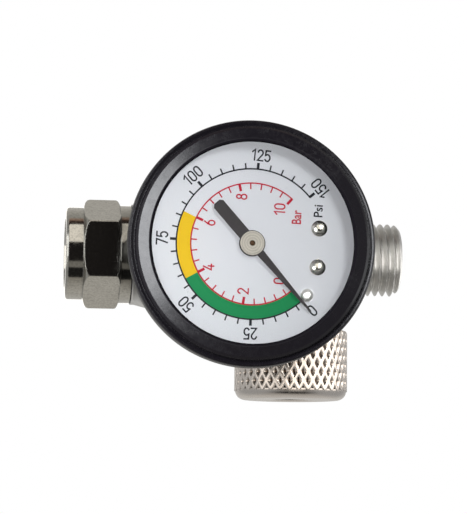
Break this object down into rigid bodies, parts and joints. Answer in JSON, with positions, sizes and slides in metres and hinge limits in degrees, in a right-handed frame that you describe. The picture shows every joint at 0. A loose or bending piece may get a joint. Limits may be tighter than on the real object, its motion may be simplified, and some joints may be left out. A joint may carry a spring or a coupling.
{
  "type": "air pressure regulator",
  "caption": "In-line air pressure regulator: knurled throttling knob, round dial gauge, swivel-nut outlet and male threaded inlet.",
  "frame": {"origin": "on the air line's axis, at the start of the inlet's full thread, 1.5 mm in from its end", "axes": "+X out of the inlet along the air line, the gauge faces -Y, the knob hangs along -Z"},
  "size_m": [0.0604, 0.0329, 0.047],
  "materials": {
    "cast_zinc": "bare die-cast zinc, satin with fine grain",
    "nickel_plate": "bright nickel plating over brass",
    "knob_nickel": "warm bright nickel plating on a diamond knurl",
    "black_paint": "semi-gloss black paint on steel",
    "clear_lens": "clear moulded window",
    "rubber": "matte nitrile rubber",
    "dial_print": "white printed aluminium dial",
    "bright_pin": "polished chrome",
    "pointer_paint": "matte black enamel",
    "hub_metal": "turned, satin",
    "brass": "machined brass",
    "bronze_tube": "drawn phosphor bronze",
    "steel": "zinc-plated steel",
    "copper": "soft copper",
    "nylon": "natural nylon"
  },
  "bodies": {
    "body": {"die_cast_body": "cast_zinc", "bezel_ring": "black_paint", "lens": "clear_lens", "lens_gasket": "rubber", "dial_plate": "dial_print", "dial_rivets": "bright_pin", "pointer_stop_pin": "bright_pin", "bourdon_socket": "brass", "socket_seal": "rubber", "socket_screws": "steel", "bourdon_tube": "bronze_tube", "movement_back_plate": "brass", "movement_front_plate": "brass", "movement_pillars": "brass", "movement_screws": "steel", "front_plate_screws": "steel", "hairspring": "bronze_tube", "hairspring_stud": "brass", "nut_retaining_wire": "steel", "outlet_washer": "nylon", "valve_bonnet": "brass", "bonnet_washer": "copper", "stem_o_ring": "rubber"},
    "nut": {"swivel_nut": "nickel_plate"},
    "plug": {"valve_plug": "brass", "plug_seal": "rubber"},
    "knob": {"valve_stem": "brass", "control_knob": "knob_nickel", "knob_screw": "steel"},
    "pointer_set": {"pointer": "pointer_paint", "pointer_hub": "hub_metal", "pinion_arbor": "brass"},
    "sector": {"sector_gear": "brass", "sector_arbor": "steel", "sector_link_pin": "steel"},
    "tip": {"tube_tip": "brass", "tip_link_pin": "steel"},
    "link": {"link_bar": "brass"}
  },
  "joints": [
    {"name": "nut_spin", "type": "hinge", "parent": "body", "child": "nut", "pos_m": [-0.0536, 0, 0], "axis": [-1, 0, 0], "continuous": true},
    {"name": "plug_lift", "type": "slide", "parent": "body", "child": "plug", "axis": [0, 0, -1], "range_m": [0, 0.0025]},
    {"name": "knob_turn", "type": "hinge", "parent": "plug", "child": "knob", "pos_m": [-0.0179, 0, -0.0195], "axis": [0, 0, -1], "range_deg": [0, 900]},
    {"name": "pointer_sweep", "type": "hinge", "parent": "body", "child": "pointer_set", "pos_m": [-0.0276, -0.02, 0], "axis": [0, 1, 0], "range_deg": [0, 271.6]},
    {"name": "sector_swing", "type": "hinge", "parent": "body", "child": "sector", "pos_m": [-0.01951, -0.0155, 0.00517], "axis": [0, -1, 0], "range_deg": [0, 30.3]},
    {"name": "tip_flex", "type": "hinge", "parent": "body", "child": "tip", "pos_m": [-0.03024, -0.0155, -0.00153], "axis": [0, -1, 0], "range_deg": [0, 5.16], "stiffness_Nm_per_rad": 0.01, "springref_deg": -1.15, "deforming": ["bourdon_tube"]},
    {"name": "link_swing", "type": "hinge", "parent": "tip", "child": "link", "pos_m": [-0.02088, -0.0164, 0.01296], "axis": [0, 1, 0], "range_deg": [0, 5.3]}
  ],
  "couplings": [
    {"joint": "knob_turn", "follows": "plug_lift", "rad_per_m": 6283.2},
    {"joint": "pointer_sweep", "follows": "tip_flex", "ratio": 52.632},
    {"joint": "sector_swing", "follows": "tip_flex", "ratio": 5.848},
    {"joint": "link_swing", "follows": "tip_flex", "ratio": 1}
  ]
}
